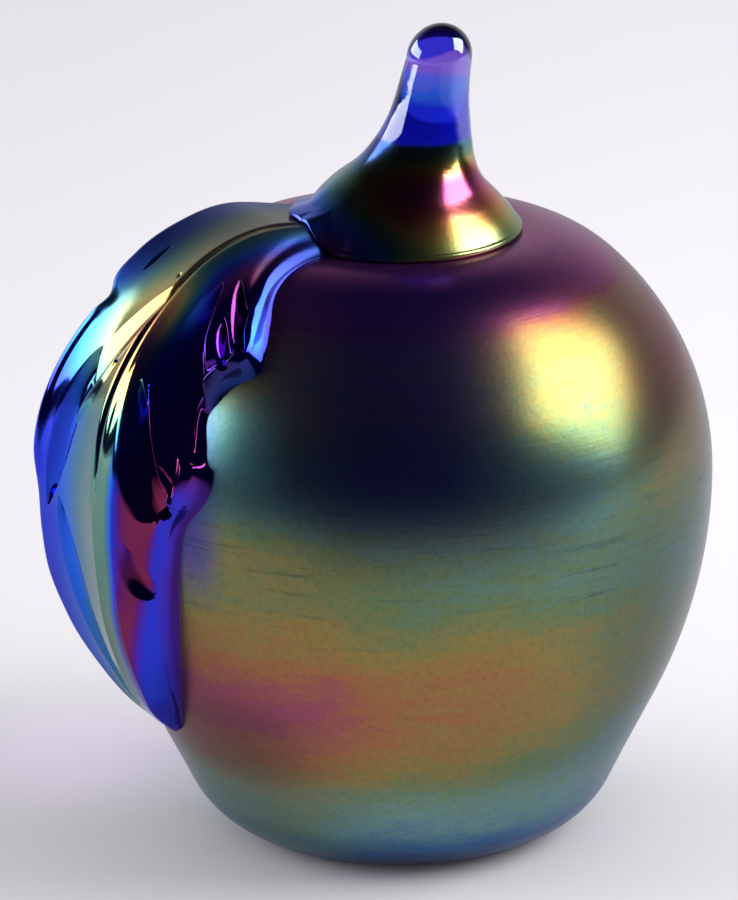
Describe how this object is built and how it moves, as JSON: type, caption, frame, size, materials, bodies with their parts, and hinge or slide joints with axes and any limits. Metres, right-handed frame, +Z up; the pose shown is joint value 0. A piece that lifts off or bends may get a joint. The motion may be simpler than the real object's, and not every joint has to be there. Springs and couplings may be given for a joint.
{
  "type": "art glass apple",
  "caption": "Solid art glass apple with a satin iridescent skin, a pressed leaf laid over its shoulder and a drawn clear stem; it stands on a flat base.",
  "frame": {"origin": "centre of the flat base that the apple rests on", "axes": "+Z up along the apple's axis, +X to the right and -Y towards the viewer, with the leaf on the -X side"},
  "size_m": [0.0905, 0.084, 0.1116],
  "materials": {
    "body_glass": "satin iridescent skin over opaque dark cobalt",
    "leaf_glass": "glossy iridescent skin over opaque dark cobalt",
    "stem_glass": "clear cobalt at the tip, satin iridescent at the foot"
  },
  "bodies": {
    "root": {"apple_body": "body_glass", "leaf": "leaf_glass", "stem": "stem_glass"}
  },
  "joints": []
}
